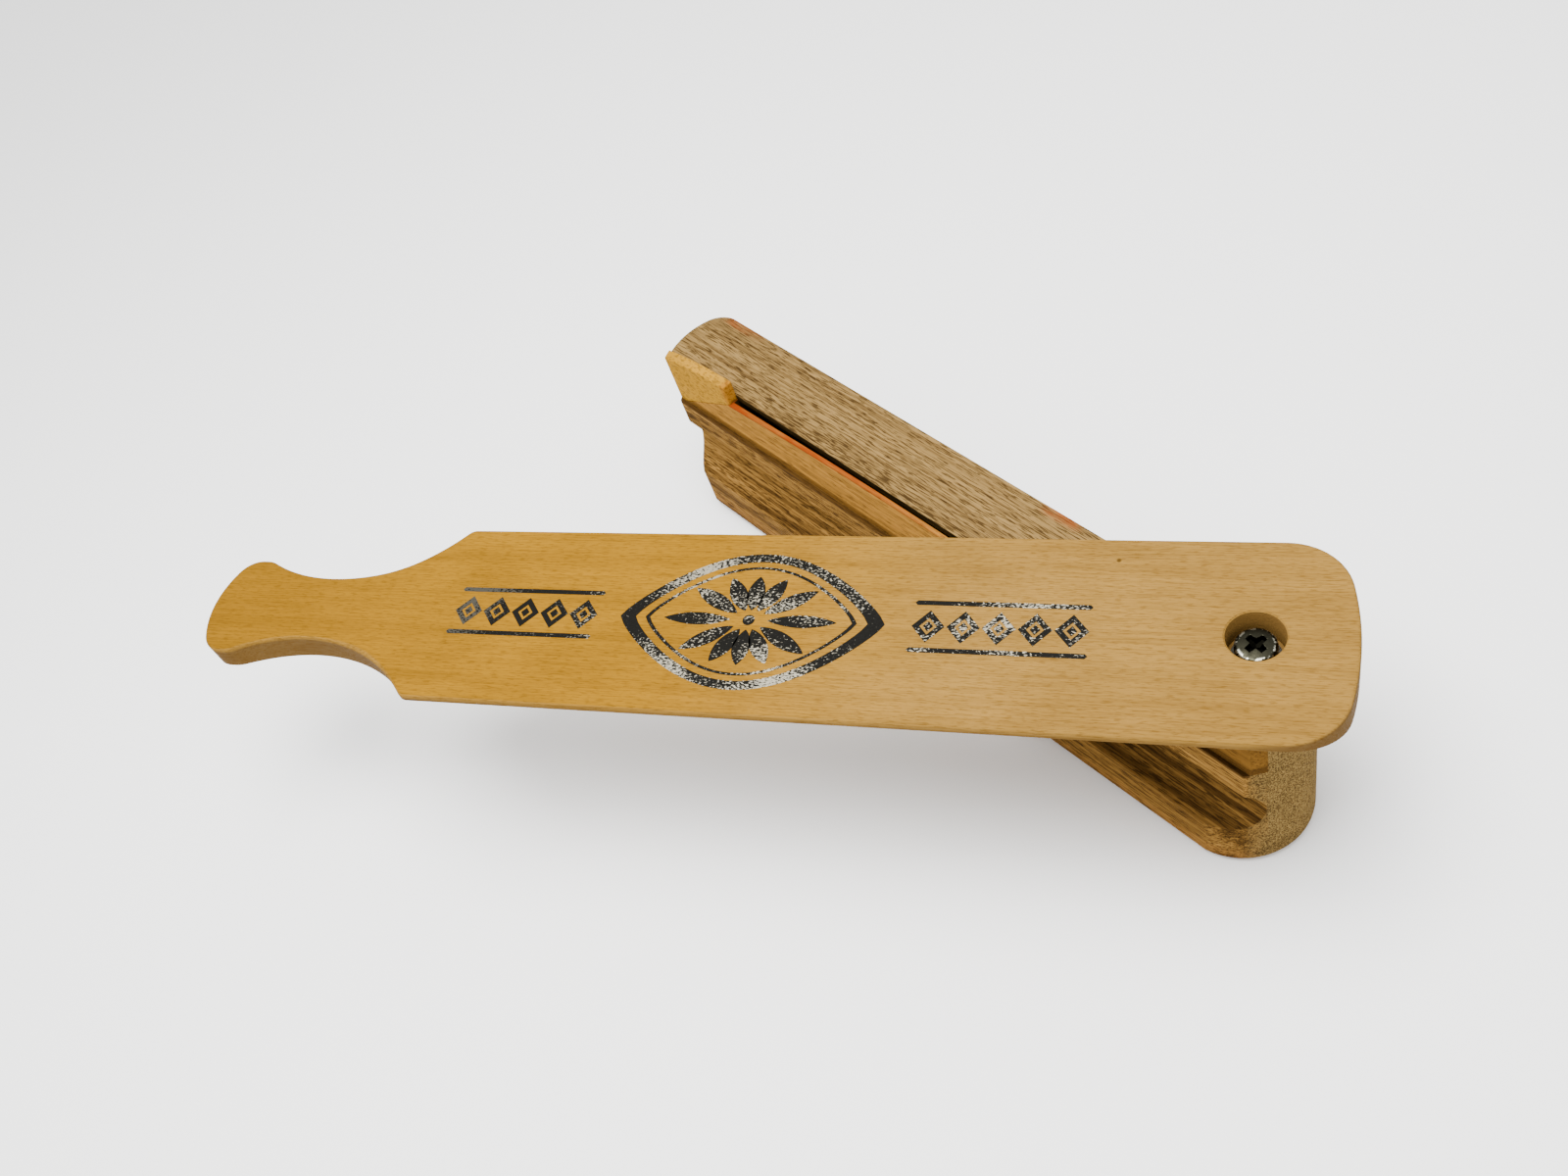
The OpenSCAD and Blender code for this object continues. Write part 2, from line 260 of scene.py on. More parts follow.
class StampSettings(bpy.types.PropertyGroup):
    """Sizes and colours of the foil stamp."""

    middle: length("Middle", "Middle of the medallion, measured from the screw", 113)
    medallion: length("Medallion", "Length of the medallion", 66)
    medallion_width: length("Medallion's width", "Width of the medallion", 39)
    inner_share: number("Inner oval", "Size of the fine oval inside, as a share of the medallion's", 0.8)
    points: number("Points", "Thicknesses by which the inside of an oval is shorter than its outside", 3.4)
    rosette: number("Rosette", "Reach of the rosette, as a share of the medallion's size", 0.33)
    leaf_place: number("Leaf's place", "Middle of a leaf, as a share of the rosette's reach", 0.6)
    leaf_length: number("Leaf's length", "Length of a leaf, as a share of the rosette's reach", 0.78)
    band: length("Band", "Length of each band beside the medallion", 40)
    band_width: length("Band's width", "Width of the bands", 13)
    gap: length("Gap", "Gap between the medallion and each band", 6)
    rim: length("Rim", "Thickness of the medallion's rim", 2.4)
    line: length("Line", "Thickness of the fine line inside the rim", 0.7)
    leaf: length("Leaf", "Width of the rosette's narrowest leaves", 3.6)
    leaf_swell: length("Leaf's swell", "How much wider the widest leaves are", 0.8)
    eye: length("Eye", "Radius of the rosette's middle", 1.5)
    diamond_gap: length("Diamonds' gap", "Gap between two diamonds", 0.4)
    diamond_width: number("Diamonds' width", "Width of the diamonds, as a share of the band's", 0.68)
    diamond_hole: number("Diamonds' hole", "Size of a diamond's hole, as a share of the diamond's", 0.52)
    pip: length("Pip", "Length of the small diamond in each diamond", 2.4)
    pip_width: length("Pip's width", "Width of the small diamonds", 2.8)
    band_line: length("Band's line", "Half the thickness of the lines beside the diamonds", 0.65)
    band_straight: number("Band's straight", "Straight part of those lines, as a share of the band", 0.97)
    proud: length("Proud", "How far the foil stands over the wood", 0.03)
    black: colour("Black", "Colour of the dark foil", 12, 11, 8)
    silver: colour("Silver", "Colour of the bright foil", 158, 152, 134)


class MetalSettings(bpy.types.PropertyGroup):
    """Sizes and colours of the screw, the spring and the washers."""

    coil: length("Coil", "Radius of the spring's middle line", 3.9)
    wire: length("Wire", "Thickness of the spring's wire", 0.5)
    turns: number("Turns", "Turns of the spring", 2)
    head: length("Head", "Height of the underside of the screw's head", 61.1)
    head_top: length("Head's top", "Height of the middle of the screw's head", 63.5)
    head_radius: length("Head's radius", "Radius of the screw's head", 4.55)
    crown: length("Crown", "Rise of the screw's head towards its middle", 0.45)
    rim: length("Rim", "Rounding of the rim of the screw's head", 0.9)
    shank: length("Shank", "Radius of the screw's shank", 2.3)
    tip: length("Tip", "Height of the screw's tip", 32.5)
    point: length("Point", "Length of the screw's point", 5)
    blunt: length("Blunt end", "Radius of the screw's tip", 0.5)
    arm: length("Arm", "Reach of the arms of the cross recess", 2.5)
    arm_width: length("Arm's width", "Half width of the arms of the cross recess", 0.75)
    recess: length("Recess", "Depth of the cross recess", 1.7)
    recess_middle: length("Recess's middle", "Radius of the middle of the cross recess", 0.9)
    recess_edge: length("Recess's edge", "Width of the sloping edge of the cross recess", 0.35)
    narrowing: number("Narrowing", "Share of their width that the arms lose towards their ends", 0.35)
    shallowing: number("Shallowing", "Share of its depth that the recess loses towards its ends", 0.45)
    screw: colour("Screw", "Colour of the screw's dark plating", 48, 47, 37)
    # Painted glints: this colour is laid in patches round the screw's rim
    wear_and_glint: colour("Worn plating", "Colour of the screw's worn rim", 196, 196, 180)
    steel: colour("Steel", "Colour of the spring and its washer", 92, 90, 82)
    plastic: colour("Plastic", "Colour of the washer under the lid", 232, 226, 208)


class StageSettings(bpy.types.PropertyGroup):
    """The camera, the floor and the light."""

    place: vector("Camera", "The camera's place", -0.118193, 0.147858, 0.332644)
    forward: vector("Forward", "The direction of view", 0.59765, -0.2672, -0.75592)
    right: vector("Right", "The picture's right", -0.64371, -0.72197, -0.25375)
    lens: number("Lens", "Focal length of the camera, in millimetres", 34.34)
    sensor: number("Sensor", "Width of the camera's sensor, in millimetres", 36)
    near: length("Near", "Nearest distance that the camera sees", 10)
    sky: number("Sky", "Strength of the light from all round", 1.6)
    lamp: number("Lamp", "Power of the large lamp, in watts", 10)
    lamp_place: vector("Lamp's place", "The lamp's place", 0.08, 0.1, 0.62)
    lamp_aim: vector("Lamp's aim", "The place that the lamp points at", 0.07, 0.04, 0.03)
    lamp_size: length("Lamp's size", "Width of the square lamp", 400)
    floor_reach: length("Floor's reach", "From the middle of the floor to its edges", 3000)
    floor: colour("Floor", "Colour of the floor", 250, 250, 249)


# Shapes


def new_piece(name, points, faces, body, material):
    """A piece from arrays: doubles merged, faces turned outwards, shaded smooth with crisp corners."""
    mesh = bpy.data.meshes.new(name)
    mesh.from_pydata(np.asarray(points).tolist(), [], np.asarray(faces).tolist())
    tidy_mesh(mesh, DOUBLES)
    return placed(name, mesh, body, material)


def tidy_mesh(mesh, gap, flat=None):
    """Merges doubles, joins faces that lie in one plane when asked, and marks the crisp corners."""
    work = bmesh.new()
    work.from_mesh(mesh)
    bmesh.ops.remove_doubles(work, verts=work.verts, dist=gap)
    if flat is not None:
        bmesh.ops.dissolve_limit(work, angle_limit=flat, verts=work.verts, edges=work.edges)
    bmesh.ops.recalc_face_normals(work, faces=work.faces)
    work.to_mesh(mesh)
    work.free()
    mesh.shade_smooth()
    mesh.set_sharp_from_angle(angle=CORNER)


def placed(name, mesh, body, material):
    """An object for the mesh, with its material, that rides on a body."""
    piece = bpy.data.objects.new(name, mesh)
    bpy.context.scene.collection.objects.link(piece)
    mesh.materials.clear()
    mesh.materials.append(material)
    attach(piece, body)
    return piece


def grid_faces(rows, columns, round_rows=False):
    """The quads of a grid of points whose columns close on themselves, and its rows where that is asked."""
    row = np.arange(rows if round_rows else rows - 1)
    a, b = np.meshgrid(row, np.arange(columns), indexing="ij")
    a, b = a.ravel(), b.ravel()
    c, d = (a + 1) % rows, (b + 1) % columns
    return np.stack([a * columns + b, c * columns + b, c * columns + d, a * columns + d], 1)


def arc(middle, radius, start, end, count):
    """Points on a circle from one angle to another, in radians."""
    angle = np.linspace(start, end, count)
    return np.stack([middle[0] + radius * np.cos(angle), middle[1] + radius * np.sin(angle)], 1)


def eased(before, after):
    """The two runs joined with a parabola in place of the corner where they meet."""
    t = np.linspace(0, 1, EASE_POINTS)[:, None]
    bend = (1 - t) ** 2 * before[-2] + 2 * t * (1 - t) * before[-1] + t**2 * after[1]
    return np.concatenate([before[:-2], bend, after[2:]])


def half_outline(lid, side):
    """One side of the lid from above: crown, corner, straight edge, hollow, flare and round tip."""
    half = lid.width / 2
    corner_y = half - lid.corner
    reach = lid.crown - lid.corner
    spread = math.asin(corner_y / reach)
    crown_x = lid.crown - lid.back
    corner_x = crown_x - reach * math.cos(spread)
    crown = arc((crown_x, 0), lid.crown, math.pi, math.pi - spread, CROWN_POINTS)
    corner = arc((corner_x, corner_y), lid.corner, math.pi - spread, math.pi / 2, CORNER_POINTS)[1:]

    middle = side * lid.handle_side
    hollow_y = middle + lid.waist / 2 + lid.hollow
    tip_y = middle + lid.tip_width / 2
    shoulder = math.acos((hollow_y - half) / lid.hollow)
    flare = math.acos((hollow_y - tip_y) / lid.hollow)
    shoulder_x = lid.waist_x - lid.hollow * math.sin(shoulder)
    straight_x = np.linspace(corner_x, shoulder_x - lid.shoulder_ease, STRAIGHT_POINTS)
    straight_x = np.append(straight_x[1:], shoulder_x)
    straight = np.stack([straight_x, np.full(len(straight_x), half)], 1)
    start, end = 1.5 * math.pi - shoulder, 1.5 * math.pi + flare
    hollow = arc((lid.waist_x, hollow_y), lid.hollow, start, end, HOLLOW_POINTS)

    tip_corner_y = lid.tip_width / 2 - lid.tip_corner
    tip_reach = lid.tip - lid.tip_corner
    tip_spread = math.asin(tip_corner_y / tip_reach)
    tip_middle = lid.tip_x - lid.tip
    tip_corner_x = tip_middle + tip_reach * math.cos(tip_spread)
    tip_corner = (tip_corner_x, middle + tip_corner_y)
    end_corner = arc(tip_corner, lid.tip_corner, math.pi / 2, tip_spread, TIP_POINTS)
    tip = arc((tip_middle, middle), lid.tip, tip_spread, 0, TIP_POINTS)[1:]
    edge = np.stack([hollow[-1], (hollow[-1] + end_corner[0]) / 2])

    run = eased(straight, hollow)
    run = eased(run, np.concatenate([edge, end_corner]))
    return np.concatenate([crown, corner, run, tip]) * (1, side) + (0, lid.side)


def lid_surface(lid):
    """The lid as one closed surface of two parameters. One runs round the outline. The other starts on a
    ring round the hole that runs on as the middle line, and goes out over the flat top, round the softened
    edge, down the side, back under the arched face and up through the stepped hole. The height of the
    arched face is that of a cylinder lying along the lid."""
    near, far = half_outline(lid, 1), half_outline(lid, -1)
    outline = np.concatenate([near, far[-2:0:-1]])
    step = np.roll(outline, -1, 0) - np.roll(outline, 1, 0)
    inward = np.stack([step[:, 1], -step[:, 0]], 1)
    inward /= np.linalg.norm(inward, axis=1)[:, None]

    front = int(np.argmax(near[:, 0] > lid.counterbore + lid.ring_gap))
    steps = np.arange(len(near))
    turn = np.pi * (1 - np.minimum(steps / front, 1))
    spine_x = np.clip((near[:, 0] + far[:, 0]) / 2, 0, lid.tip_x - lid.spine_gap)

    def inner(radius):
        """The ring round the hole, which runs on as the middle line."""
        x = np.where(steps > front, spine_x, radius * np.cos(turn))
        y = np.where(steps > front, 0, radius * np.sin(turn))
        return np.concatenate([np.stack([x, y], 1), np.stack([x, -y], 1)[-2:0:-1]])

    rise = LID_TOP - LID_Z - lid.edge
    arch_radius = ((lid.width / 2) ** 2 + rise**2) / (2 * rise)

    def arched(ring):
        """The ring of points laid on the arched face."""
        height = LID_Z + arch_radius - np.sqrt(arch_radius**2 - (ring[:, 1] - lid.side) ** 2)
        return np.c_[ring, height]

    beside_waist = np.exp(-(((outline[:, 0] - lid.waist_x + lid.grip_place) / lid.grip_reach) ** 2))
    soft = (lid.softness + lid.grip_softness * beside_waist)[:, None]
    start, rim = inner(lid.counterbore + lid.chamfer), outline + inward * (soft + lid.flat_gap)
    top = np.full(len(outline), LID_TOP)
    rows = [np.c_[start + (rim - start) * t, top] for t in np.linspace(0, 1, TOP_ROWS)]
    for angle in np.linspace(0, math.pi / 2, SOFT_ROWS):
        ring = outline + inward * soft * (1 - math.sin(angle))
        rows.append(np.c_[ring, LID_TOP - soft * (1 - math.cos(angle))])
    shoulder, under = rows[-1], arched(outline + inward * lid.chamfer)
    foot = arched(outline) + (0, 0, lid.chamfer)
    rows += [shoulder + (foot - shoulder) * t for t in (0.1, 0.5, 0.9, 1)]
    seat = inner(lid.seat)
    rows += [arched(under[:, :2] + (seat - under[:, :2]) * t) for t in np.linspace(0, 1, UNDER_ROWS)]
    surface = np.concatenate(rows)
    faces = grid_faces(len(rows), len(outline))

    ring = np.r_[np.arange(front + 1), np.arange(len(outline) - front + 1, len(outline))]
    walls = [rows[-1][ring]]
    for radius, height in (
        (lid.seat, LID_Z + lid.seat_depth),
        (lid.hole, LID_Z + lid.seat_depth),
        (lid.hole, LID_Z + lid.counterbore_floor),
        (lid.counterbore, LID_Z + lid.counterbore_floor),
        (lid.counterbore, LID_TOP - lid.chamfer),
        (lid.counterbore + lid.chamfer, LID_TOP),
    ):
        walls.append(np.c_[inner(radius)[ring], np.full(len(ring), height)])
    wall_faces = grid_faces(len(walls), len(ring)) + len(surface)
    return in_place(np.concatenate([surface, *walls])), np.concatenate([faces, wall_faces])


def in_place(points):
    """Points from the lid's own axes, turned about the screw to where the lid lies."""
    cos, sin = math.cos(LID_ANGLE), math.sin(LID_ANGLE)
    x, y, z = points.T
    return np.stack([x * cos - y * sin, x * sin + y * cos, z], 1)


def foil(outer, inner, proud):
    """A flat closed band between two loops, a hair thick: a four-cornered profile carried round."""
    low = np.full(len(outer), LID_TOP - proud)
    high = np.full(len(outer), LID_TOP + proud)
    rows = [np.c_[outer, high], np.c_[inner, high], np.c_[inner, low], np.c_[outer, low]]
    return np.concatenate(rows), grid_faces(4, len(outer), round_rows=True)


def leaf(middle, long, wide, angle=0.0, count=LEAF_POINTS):
    """A pointed oval: its half width is the sine of the way along, to the power 0.8."""
    t = np.linspace(0, 2, count, endpoint=False)
    along = np.where(t < 1, t, 2 - t)
    across = np.where(t < 1, 1, -1) * np.abs(np.sin(np.pi * along)) ** 0.8
    x, y = (along - 0.5) * long, across * wide / 2
    cos, sin = math.cos(angle), math.sin(angle)
    return np.stack([middle[0] + x * cos - y * sin, middle[1] + x * sin + y * cos], 1)


def lozenge(middle, long, wide):
    """A diamond, with points along its edges."""
    corners = np.array([(long / 2, 0), (0, wide / 2), (-long / 2, 0), (0, -wide / 2), (long / 2, 0)])
    t = np.arange(0, 4, 1 / DIAMOND_SIDE_POINTS)
    x, y = (np.interp(t, np.arange(5), corners[:, axis]) for axis in (0, 1))
    return np.stack([middle[0] + x, middle[1] + y], 1)


def filled(loop):
    """The loop with its middle, so that a band between the two fills it."""
    return loop, np.repeat(loop.mean(0)[None], len(loop), 0)


def medallion(stamp, side):
    """A pointed oval with a fine one inside it, round a rosette of leaves with a round eye."""
    middle = (stamp.middle, side)
    long, wide = stamp.medallion, stamp.medallion_width
    pairs = []
    for share, thick in ((1, stamp.rim), (stamp.inner_share, stamp.line)):
        size = np.array((long, wide)) * share
        outer = leaf(middle, *size, count=OVAL_POINTS)
        inner = leaf(middle, *(size - (stamp.points * thick, 2 * thick)), count=OVAL_POINTS)
        pairs.append((outer, inner))
    for angle in np.arange(LEAVES) * math.tau / LEAVES:
        reach = stamp.rosette / math.hypot(math.cos(angle) / long, math.sin(angle) / wide)
        way = np.array((math.cos(angle), math.sin(angle)))
        width = stamp.leaf + stamp.leaf_swell * abs(math.sin(angle))
        at = middle + way * reach * stamp.leaf_place
        pairs.append(filled(leaf(at, reach * stamp.leaf_length, width, angle)))
    pairs.append(filled(arc(middle, stamp.eye, 0, math.tau, EYE_POINTS + 1)[:-1]))
    return pairs


def diamond_band(stamp, side, start):
    """Hollow diamonds in a row between two lines, each round a small full one."""
    pairs = []
    pitch = stamp.band / DIAMONDS
    straight = stamp.band_straight
    for rank in range(DIAMONDS):
        at = np.array((start + (rank + 0.5) * pitch - stamp.band / 2, side))
        outer = lozenge(at, pitch - stamp.diamond_gap, stamp.band_width * stamp.diamond_width)
        pairs.append((outer, at + (outer - at) * stamp.diamond_hole))
        pairs.append(filled(lozenge(at, stamp.pip, stamp.pip_width)))
    for edge in (-1, 1):
        x = np.array((1, straight, -straight, -1, -straight, straight)) * stamp.band / 2
        y = np.array((0, 1, 1, 0, -1, -1)) * stamp.band_line + edge * stamp.band_width / 2
        line = np.stack([start + x, side + y], 1)
        pairs.append(filled(line))
    return pairs


def stamp_surface(stamp, side):
    """All the foil of the stamp: the medallion and a band of diamonds on each side of it."""
    away = stamp.medallion / 2 + stamp.gap + stamp.band / 2
    pairs = medallion(stamp, side)
    pairs += diamond_band(stamp, side, stamp.middle - away) + diamond_band(stamp, side, stamp.middle + away)
    points, faces, count = [], [], 0
    for outer, inner in pairs:
        part, quads = foil(outer, inner, stamp.proud)
        points.append(part)
        faces.append(quads + count)
        count += len(part)
    return in_place(np.concatenate(points)), np.concatenate(faces)


def coil_surface(metal, low, high):
    """A round wire carried along a helix whose height eases out flat at both ends."""
    t = np.r_[0, np.linspace(0, 1, COIL_ROWS), 1]
    thick = np.full(len(t), metal.wire / 2)
    thick[[0, -1]] = 0
    angle = math.tau * metal.turns * t
    height = low + (high - low) * (t - np.sin(math.tau * t) / math.tau)
    around = np.linspace(0, math.tau, WIRE_POINTS, endpoint=False)
    radius = metal.coil + thick[:, None] * np.cos(around)
    z = height[:, None] + thick[:, None] * np.sin(around)
    points = np.stack([radius * np.cos(angle)[:, None], radius * np.sin(angle)[:, None], z], 2)
    return points.reshape(-1, 3), grid_faces(len(t), len(around))


def screw_surface(metal):
    """A profile turned about Z: crowned head, rounded rim, straight shank and point. The cross recess lowers
    the head by its depth times a short ramp of the distance inside the cross. Its arms get narrower and
    shallower outwards, and it has a round middle."""
    radius, rim = metal.head_radius, metal.rim
    edge_z = metal.head_top - metal.crown
    flat = np.linspace(0, radius - rim, HEAD_ROWS)
    head = np.stack([flat, metal.head_top - metal.crown * (flat / radius) ** 2], 1)
    fall = np.linspace(0, math.pi / 2, RIM_ROWS)[1:]
    side = np.stack([radius - rim + rim * np.sin(fall), head[-1, 1] - rim * (1 - np.cos(fall))], 1)
    rest = [
        (radius, (edge_z + metal.head) / 2 - rim / 2), (radius, metal.head), (metal.shank, metal.head),
        (metal.shank, metal.tip + metal.point), (metal.blunt, metal.tip), (0, metal.tip),
    ]
    profile = np.concatenate([head, side, rest])
    around = np.linspace(0, math.tau, HEAD_POINTS, endpoint=False)
    x, y = (profile[:, :1] * f(around) for f in (np.cos, np.sin))
    z = np.repeat(profile[:, 1:], len(around), 1)
    turn = LID_ANGLE + math.pi / 4
    u, v = x * math.cos(turn) + y * math.sin(turn), y * math.cos(turn) - x * math.sin(turn)
    reach = np.maximum(np.abs(u), np.abs(v))
    width = metal.arm_width * (1 + metal.narrowing * (1 - reach / metal.arm))
    inside = np.minimum(width - np.minimum(np.abs(u), np.abs(v)), metal.arm - reach)
    inside = np.maximum(inside, metal.recess_middle - np.hypot(x, y))
    ramp = np.clip(inside / metal.recess_edge, 0, 1)
    z[: len(head)] -= (metal.recess * ramp * (1 - metal.shallowing * reach / metal.arm))[: len(head)]
    return np.stack([x, y, z], 2).reshape(-1, 3), grid_faces(len(profile), len(around))


def softened(name, node, width, material):
    """A CAD node's shape with its corners eased: a merged copy of its mesh under a bevel."""
    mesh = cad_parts[node].data.copy()
    mesh.name = name
    tidy_mesh(mesh, CAD_DOUBLES, flat=FLAT)
    piece = placed(name, mesh, "box", material)
    ease = piece.modifiers.new("ease", "BEVEL")
    ease.width = width
    ease.segments = BEVEL_SEGMENTS
    ease.limit_method = "ANGLE"
    ease.angle_limit = CORNER
    ease.harden_normals = True
    ease.miter_outer = "MITER_ARC"
    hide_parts(node)


# Finishes


class Finish:
    """A procedural material and short ways to add its nodes."""

    def __init__(self, name, tint, turn=0.0):
        self.material = bpy.data.materials.new(name)
        self.material.use_nodes = True
        self.tree = self.material.node_tree
        self.shader = self.tree.nodes["Principled BSDF"]
        self.turn = turn
        self.tint = tint
        self.set(Base_Color=tint)

    @cached_property
    def place(self):
        """The object's own coordinates, turned about Z."""
        node = self.tree.nodes.new("ShaderNodeTexCoord")
        return self.mapped(node.outputs["Object"], turn=self.turn)

    @cached_property
    def axes(self):
        """The three coordinates one by one."""
        node = self.tree.nodes.new("ShaderNodeSeparateXYZ")
        self.tree.links.new(self.place, node.inputs[0])
        return node.outputs[0], node.outputs[1], node.outputs[2]

    def put(self, value, socket):
        """Links another node's output, or sets a number or a colour."""
        if isinstance(value, bpy.types.NodeSocket):
            self.tree.links.new(value, socket)
        elif isinstance(value, (int, float)):
            socket.default_value = value
        else:
            socket.default_value = (*value, 1)

    def mapped(self, source, scale=(1, 1, 1), turn=0.0):
        """The coordinates scaled and turned about Z."""
        node = self.tree.nodes.new("ShaderNodeMapping")
        node.inputs["Scale"].default_value = scale
        node.inputs["Rotation"].default_value = (0, 0, -turn)
        self.tree.links.new(source, node.inputs["Vector"])
        return node.outputs[0]

    def noise(self, scale, detail=3.0, rough=0.55, warp=0.0):
        """Noise with so many waves a metre along each axis."""
        node = self.tree.nodes.new("ShaderNodeTexNoise")
        self.tree.links.new(self.mapped(self.place, scale=scale), node.inputs["Vector"])
        node.inputs["Scale"].default_value = 1
        node.inputs["Detail"].default_value = detail
        node.inputs["Roughness"].default_value = rough
        node.inputs["Distortion"].default_value = warp
        return node.outputs[0]

    def band(self, value, low, high, start=0.0, end=1.0):
        """The value carried smoothly from one range to another, and held at its ends."""
        node = self.tree.nodes.new("ShaderNodeMapRange")
        node.interpolation_type = "SMOOTHSTEP"
        self.put(value, node.inputs["Value"])
        for socket, limit in zip(("From Min", "From Max", "To Min", "To Max"), (low, high, start, end)):
            node.inputs[socket].default_value = limit
        return node.outputs[0]

    def between(self, value, start, full, fading, end):
        """One between two places, with a soft start and a soft end, and nought outside them."""
        return self.times(self.band(value, start, full), self.band(value, end, fading))

    def maths(self, kind, *values):
        """The values combined one after another."""
        result = values[0]
        for value in values[1:]:
            node = self.tree.nodes.new("ShaderNodeMath")
            node.operation = kind
            self.put(result, node.inputs[0])
            self.put(value, node.inputs[1])
            result = node.outputs[0]
        return result

    def times(self, *values):
        """The product of the values."""
        return self.maths("MULTIPLY", *values)

    def away(self, values, middle):
        """The distance of two coordinates from a point."""
        steps = [self.maths("SUBTRACT", value, at) for value, at in zip(values, middle)]
        squares = [self.times(step, step) for step in steps]
        return self.maths("POWER", self.maths("ADD", *squares), 0.5)

    def facing(self, axis):
        """One where the object's own surface looks along an axis, nought where it looks across it."""
        normal = self.tree.nodes.new("ShaderNodeTexCoord").outputs["Normal"]
        node = self.tree.nodes.new("ShaderNodeSeparateXYZ")
        self.tree.links.new(normal, node.inputs[0])
        turned = node.outputs[axis]
        return self.band(self.times(turned, turned), 0.35, 0.75)

    def lay(self, tint, *amounts):
        """Lays a colour over what is there, as thickly as the product of the amounts."""
        node = self.tree.nodes.new("ShaderNodeMix")
        node.data_type = "RGBA"
        self.put(self.times(*amounts), node.inputs[0])
        self.put(self.tint, node.inputs[6])
        self.put(tint, node.inputs[7])
        self.tint = node.outputs[2]
        self.set(Base_Color=self.tint)

    def bump(self, height, strength, distance):
        """Small relief in the surface."""
        node = self.tree.nodes.new("ShaderNodeBump")
        node.inputs["Strength"].default_value = strength
        node.inputs["Distance"].default_value = distance
        self.tree.links.new(height, node.inputs["Height"])
        self.tree.links.new(node.outputs[0], self.shader.inputs["Normal"])

    def set(self, **values):
        """Sets the shader's inputs by name."""
        for name, value in values.items():
            self.put(value, self.shader.inputs[name.replace("_", " ")])


def scaled(tint, share):
    """A colour with its light multiplied."""
    return [channel * share for channel in tint]


def lid_wood(lid):
    """Close-grained pale wood: faint growth lines, short flecks, a small knot, a painted highlight on the
    upper edge, and painted shade on the sides, the pivot end and the bore.
    """
    wood = Finish("lid_wood", lid.pale, turn=LID_ANGLE)
    along, across, height = wood.axes
    drift = wood.noise((6, 18, 18), 2)
    golden = wood.band(wood.maths("ADD", along, wood.times(drift, 0.05)), *LID_GOLDEN_X)
    wood.lay(lid.golden, golden)
    wood.lay(lid.dark, wood.band(along, *LID_DARK_X, 0, 0.26))
    # Painted highlight where the rounded upper edge catches the light
    rounding = wood.band(height, *LID_EDGE_HIGHLIGHT_Z, 0, 0.7)
    wood.lay(scaled(lid.pale, 1.12), rounding)
    # Painted shade on the lid's sides, stronger towards the handle
    side = wood.band(height, *LID_SIDE_SHADE_Z)
    wood.lay(lid.flank, side, wood.band(along, *GRIP_X, 0.55, 0.95))
    # Painted shade on the lid's pivot end
    wood.lay(lid.flank, wood.band(height, *BUTT_SHADE_Z), wood.band(along, *BUTT_SHADE_X, 0, 0.95))
    growth = wood.noise((4, 210, 210), 3, 0.6, 0.4)
    wood.lay(lid.dark, wood.band(growth, 0.42, 0.75, 0, 0.25))
    streak = wood.noise((60, 2400, 2400), 3, 0.65)
    wood.lay(lid.dark, wood.band(streak, 0.42, 0.68, 0, 0.34))
    flecks = wood.band(wood.noise((400, 3000, 3000), 2, 0.5), 0.52, 0.66)
    wood.lay(lid.dark, flecks, 0.42)
    blotch = wood.noise((30, 70, 70), 3, 0.6)
    wood.lay(scaled(lid.dark, 0.8), wood.band(blotch, 0.35, 0.7, 0, 0.22))
    knot = wood.band(wood.away((along, across), KNOT), *KNOT_REACH, 0.8, 0)
    wood.lay(scaled(lid.dark, 0.4), knot)
    # Painted shade in the counterbore
    bore = wood.away((along, across), (0, 0))
    bore = wood.band(bore, lid.counterbore, lid.counterbore + BORE_SHADE_EDGE, 1, 0)
    wood.lay(lid.bore, bore, wood.band(height, *BORE_SHADE_Z, 0.85, 0))
    wood.set(Roughness=wood.band(streak, 0.3, 0.7, 0.46, 0.6))
    wood.set(Specular_IOR_Level=0.006, Specular_Tint=lid.golden)
    wood.bump(wood.maths("SUBTRACT", streak, flecks), 0.3, 0.2 * MM)
    return wood.material


